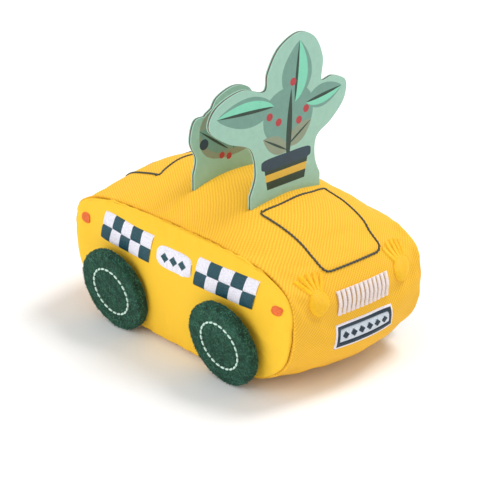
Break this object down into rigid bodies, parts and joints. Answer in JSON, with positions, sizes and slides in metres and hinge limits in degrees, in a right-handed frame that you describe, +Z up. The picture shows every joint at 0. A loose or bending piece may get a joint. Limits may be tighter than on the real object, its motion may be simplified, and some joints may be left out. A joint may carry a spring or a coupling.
{
  "type": "soft toy car",
  "caption": "Stuffed cotton toy car with sewn-on felt disc wheels, embroidered trim and two flexible printed panels that stand up from its roof and spring back.",
  "frame": {"origin": "centre of the footprint, on the surface that the car stands on", "axes": "+X to the car's front, +Y to its left, +Z up"},
  "size_m": [0.147, 0.0986, 0.1377],
  "materials": {
    "cotton": "woven cotton twill, matt",
    "stuffing": "polyester fibre fill",
    "felt": "thick needled felt",
    "ring_thread": "thick sewing thread",
    "white_thread": "satin-stitch embroidery",
    "dark_thread": "satin-stitch embroidery",
    "orange_thread": "satin-stitch embroidery",
    "lamp_thread": "satin-stitch embroidery",
    "grille_thread": "satin-stitch embroidery",
    "plate_thread": "satin-stitch embroidery",
    "plate_field": "flat fill-stitch embroidery",
    "line_thread": "line stitching",
    "panel_print": "printed polyester, laminated, slightly glossy",
    "panel_core": "stiff non-woven interlining, cut edge"
  },
  "bodies": {
    "car_body": {"stuffing": "stuffing", "top_strip": "cotton", "base_panel": "cotton", "right_side_panel": "cotton", "left_side_panel": "cotton", "right_front_wheel": "felt", "right_rear_wheel": "felt", "left_front_wheel": "felt", "left_rear_wheel": "felt", "right_front_wheel_stitches": "ring_thread", "right_rear_wheel_stitches": "ring_thread", "left_front_wheel_stitches": "ring_thread", "left_rear_wheel_stitches": "ring_thread", "right_front_check_ground": "white_thread", "right_rear_check_ground": "white_thread", "left_front_check_ground": "white_thread", "left_rear_check_ground": "white_thread", "right_front_check_squares": "dark_thread", "right_rear_check_squares": "dark_thread", "left_front_check_squares": "dark_thread", "left_rear_check_squares": "dark_thread", "right_label": "white_thread", "left_label": "white_thread", "right_front_indicator": "orange_thread", "right_rear_indicator": "orange_thread", "left_front_indicator": "orange_thread", "left_rear_indicator": "orange_thread", "right_headlamp": "lamp_thread", "left_headlamp": "lamp_thread", "grille": "grille_thread", "plate_border": "white_thread", "plate_line": "plate_thread", "plate_field": "plate_field", "bonnet_line": "line_thread", "rear_line": "line_thread", "tall_panel_hem": "panel_print", "low_panel_hem": "panel_print"},
    "tall_panel": {"tall_panel_back_face": "panel_print", "tall_panel_core": "panel_core", "tall_panel_front_face": "panel_print"},
    "low_panel": {"low_panel_back_face": "panel_print", "low_panel_core": "panel_core", "low_panel_front_face": "panel_print"}
  },
  "joints": [
    {"name": "tall_panel_bend", "type": "hinge", "parent": "car_body", "child": "tall_panel", "pos_m": [0.0238, 0, 0.07163], "axis": [0, 1, 0], "range_deg": [-20, 60], "stiffness_Nm_per_rad": 0.01},
    {"name": "low_panel_bend", "type": "hinge", "parent": "car_body", "child": "low_panel", "pos_m": [-0.008, 0, 0.07201], "axis": [0, 1, 0], "range_deg": [-60, 20], "stiffness_Nm_per_rad": 0.006}
  ]
}
